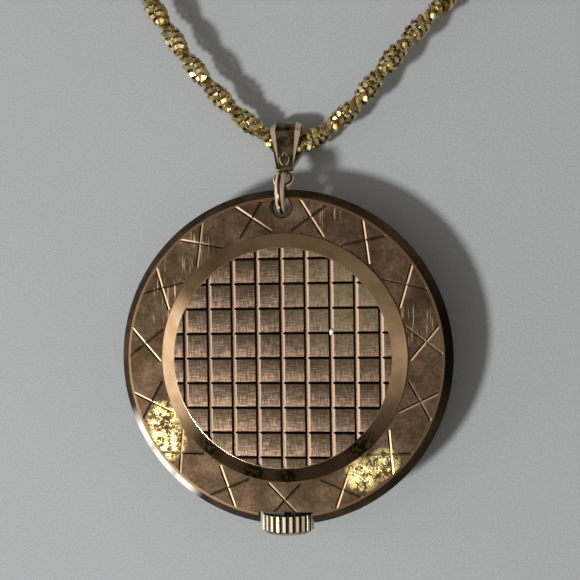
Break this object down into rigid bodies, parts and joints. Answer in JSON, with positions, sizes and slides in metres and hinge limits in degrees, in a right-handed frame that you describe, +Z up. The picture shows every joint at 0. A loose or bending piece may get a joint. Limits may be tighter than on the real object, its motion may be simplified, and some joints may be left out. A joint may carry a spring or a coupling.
{
  "type": "pendant watch",
  "caption": "Round pendant watch with an engraved flange and cross-grooved back, crown at the foot, and a tapered bail on a rope chain.",
  "frame": {"origin": "centre of the bezel's foot ring, on the case axis, at the plane that the watch rests on dial down", "axes": "+Z up to the decorated back cover, +Y from the case axis to the bail, -Y to the winding crown"},
  "size_m": [0.0393, 0.0975, 0.0077],
  "materials": {
    "rolled_gold_case": "satin rolled gold with polished edges",
    "bail_gold": "polished",
    "crown_gold": "polished",
    "chain_gold": "polished rope links",
    "crystal_acrylic": "clear",
    "seal_rubber": "matt",
    "dial_silvered": "silvered",
    "hand_gold": "polished",
    "movement_nickel": "grained nickel plate",
    "movement_steel": "polished steel",
    "train_brass": "gilt",
    "spring_blue": "blued steel",
    "ruby": "polished"
  },
  "bodies": {
    "root": {"case_body": "rolled_gold_case", "back_cover": "rolled_gold_case", "bezel": "rolled_gold_case", "crystal": "crystal_acrylic", "crystal_gasket": "seal_rubber", "dial": "dial_silvered", "hour_markers": "hand_gold", "movement_ring": "movement_nickel", "case_clamps": "movement_steel", "case_clamp_screws": "movement_steel", "mainplate": "movement_nickel", "barrel_bridge": "movement_nickel", "train_bridge": "movement_nickel", "pallet_cock": "movement_nickel", "balance_cock": "movement_nickel", "bridge_screws": "movement_steel", "click_screw": "movement_steel", "jewels": "ruby", "hairspring": "spring_blue", "crown_wheel_screw": "movement_steel", "click_spring": "movement_steel", "keyless_cover": "movement_nickel", "chain_left_run": "chain_gold", "chain_right_run": "chain_gold", "chain_coil": "chain_gold", "clasp_ring": "chain_gold", "clasp_links": "chain_gold"},
    "crown_carrier": {"crown_gasket": "seal_rubber"},
    "crown_stem": {"crown": "crown_gold", "winding_stem": "movement_steel"},
    "clutch": {"clutch": "movement_steel"},
    "winding_pinion": {"winding_pinion": "movement_steel"},
    "crown_wheel": {"crown_wheel": "movement_steel"},
    "ratchet": {"ratchet_wheel": "movement_steel", "ratchet_screw": "movement_steel", "barrel_arbor": "movement_steel"},
    "setting_lever": {"setting_lever": "movement_steel"},
    "yoke": {"yoke": "movement_steel"},
    "cannon": {"cannon_pinion": "movement_steel", "minute_hand": "hand_gold"},
    "minute_wheel": {"minute_wheel": "train_brass"},
    "hour": {"hour_wheel": "train_brass", "hour_hand": "hand_gold"},
    "setting_wheel": {"setting_wheel": "movement_steel"},
    "fourth": {"fourth_wheel": "train_brass"},
    "centre": {"centre_wheel": "train_brass"},
    "third": {"third_wheel": "train_brass"},
    "escape": {"escape_wheel": "movement_steel"},
    "barrel": {"barrel": "train_brass", "barrel_cover": "train_brass", "mainspring": "spring_blue"},
    "fork": {"pallet_fork": "movement_steel", "pallet_stones": "ruby"},
    "balance": {"balance_wheel": "train_brass"},
    "regulator": {"regulator": "movement_steel"},
    "click": {"click": "movement_steel"},
    "bail": {"bail": "bail_gold", "chain_in_bail": "chain_gold"},
    "jump_ring": {"jump_ring": "bail_gold"},
    "clasp_bolt": {"clasp_bolt": "chain_gold"}
  },
  "joints": [
    {"name": "crown_pull", "type": "slide", "parent": "root", "child": "crown_carrier", "axis": [0, -1, 0], "range_m": [0, 0.0008]},
    {"name": "crown_turn", "type": "hinge", "parent": "crown_carrier", "child": "crown_stem", "pos_m": [0, -0.0153, 0.0046], "axis": [0, -1, 0], "continuous": true},
    {"name": "clutch_turn", "type": "hinge", "parent": "root", "child": "clutch", "pos_m": [0, -0.00585, 0.0046], "axis": [0, -1, 0], "continuous": true},
    {"name": "winding_pinion_turn", "type": "hinge", "parent": "root", "child": "winding_pinion", "pos_m": [0, -0.0069, 0.0046], "axis": [0, -1, 0], "continuous": true},
    {"name": "crown_wheel_turn", "type": "hinge", "parent": "root", "child": "crown_wheel", "pos_m": [0, -0.0049, 0.006], "axis": [0, 0, 1], "continuous": true},
    {"name": "ratchet_turn", "type": "hinge", "parent": "root", "child": "ratchet", "pos_m": [0.00396, -0.00106, 0.0045], "axis": [0, 0, 1], "continuous": true},
    {"name": "setting_lever_turn", "type": "hinge", "parent": "root", "child": "setting_lever", "pos_m": [-0.0026, -0.0071, 0.0029], "axis": [0, 0, 1], "range_deg": [-18.2, 0]},
    {"name": "yoke_turn", "type": "hinge", "parent": "root", "child": "yoke", "pos_m": [-0.0034, -0.0054, 0.0031], "axis": [0, 0, 1], "range_deg": [0, 1.1]},
    {"name": "hands_turn", "type": "hinge", "parent": "root", "child": "cannon", "pos_m": [0, 0, 0.002], "axis": [0, 0, 1], "continuous": true},
    {"name": "minute_wheel_turn", "type": "hinge", "parent": "root", "child": "minute_wheel", "pos_m": [0.00082, -0.00226, 0.0045], "axis": [0, 0, 1], "continuous": true},
    {"name": "hour_turn", "type": "hinge", "parent": "root", "child": "hour", "pos_m": [0, 0, 0.002], "axis": [0, 0, 1], "continuous": true},
    {"name": "setting_wheel_turn", "type": "hinge", "parent": "root", "child": "setting_wheel", "pos_m": [0.00037, -0.00482, 0.0045], "axis": [0, 0, 1], "continuous": true},
    {"name": "fourth_turn", "type": "hinge", "parent": "root", "child": "fourth", "pos_m": [-0.00388, 0.00101, 0.0045], "axis": [0, 0, 1], "continuous": true},
    {"name": "centre_turn", "type": "hinge", "parent": "root", "child": "centre", "pos_m": [0, 0, 0.0045], "axis": [0, 0, 1], "continuous": true},
    {"name": "third_turn", "type": "hinge", "parent": "root", "child": "third", "pos_m": [-0.00162, 0.00281, 0.0045], "axis": [0, 0, 1], "continuous": true},
    {"name": "escape_turn", "type": "hinge", "parent": "root", "child": "escape", "pos_m": [-0.00653, 0.0005, 0.0045], "axis": [0, 0, 1], "continuous": true},
    {"name": "barrel_turn", "type": "hinge", "parent": "root", "child": "barrel", "pos_m": [0.00396, -0.00106, 0.0045], "axis": [0, 0, 1], "continuous": true},
    {"name": "pallet_fork_rock", "type": "hinge", "parent": "root", "child": "fork", "pos_m": [-0.00536, -0.0015, 0.0045], "axis": [0, 0, 1], "range_deg": [-5, 5]},
    {"name": "balance_swing", "type": "hinge", "parent": "root", "child": "balance", "pos_m": [-0.00442, -0.0031, 0.0045], "axis": [0, 0, 1], "range_deg": [-270, 270], "stiffness_Nm_per_rad": 0.000001},
    {"name": "regulator_turn", "type": "hinge", "parent": "root", "child": "regulator", "pos_m": [-0.00442, -0.0031, 0.0045], "axis": [0, 0, 1], "range_deg": [-20, 20]},
    {"name": "click_rock", "type": "hinge", "parent": "root", "child": "click", "pos_m": [0.00515, 0.00338, 0.0045], "axis": [0, 0, 1], "range_deg": [0, 8], "stiffness_Nm_per_rad": 0.000001},
    {"name": "bail_swing", "type": "hinge", "parent": "root", "child": "bail", "pos_m": [0, 0.0162, 0.0056], "axis": [1, 0, 0], "range_deg": [-10, 110]},
    {"name": "jump_ring_turn", "type": "hinge", "parent": "root", "child": "jump_ring", "pos_m": [0, 0.0162, 0.0056], "axis": [1, 0, 0], "continuous": true},
    {"name": "clasp_bolt_slide", "type": "hinge", "parent": "root", "child": "clasp_bolt", "pos_m": [0.0184, 0.0463, 0.00102], "axis": [0, 0, -1], "range_deg": [0, 56], "stiffness_Nm_per_rad": 0.00001}
  ],
  "couplings": [
    {"joint": "clutch_turn", "follows": "crown_turn", "ratio": 1},
    {"joint": "winding_pinion_turn", "follows": "crown_turn", "ratio": 1},
    {"joint": "crown_wheel_turn", "follows": "crown_turn", "ratio": 0.68966},
    {"joint": "ratchet_turn", "follows": "crown_turn", "ratio": -0.31746},
    {"joint": "setting_lever_turn", "follows": "crown_pull", "rad_per_m": -390.52},
    {"joint": "yoke_turn", "follows": "crown_pull", "rad_per_m": 21.817},
    {"joint": "minute_wheel_turn", "follows": "hands_turn", "ratio": -0.33333},
    {"joint": "hour_turn", "follows": "hands_turn", "ratio": 0.083333},
    {"joint": "setting_wheel_turn", "follows": "hands_turn", "ratio": 0.75},
    {"joint": "centre_turn", "follows": "fourth_turn", "ratio": 0.016667},
    {"joint": "third_turn", "follows": "fourth_turn", "ratio": -0.13333},
    {"joint": "escape_turn", "follows": "fourth_turn", "ratio": -10},
    {"joint": "barrel_turn", "follows": "fourth_turn", "ratio": -0.0023148}
  ]
}
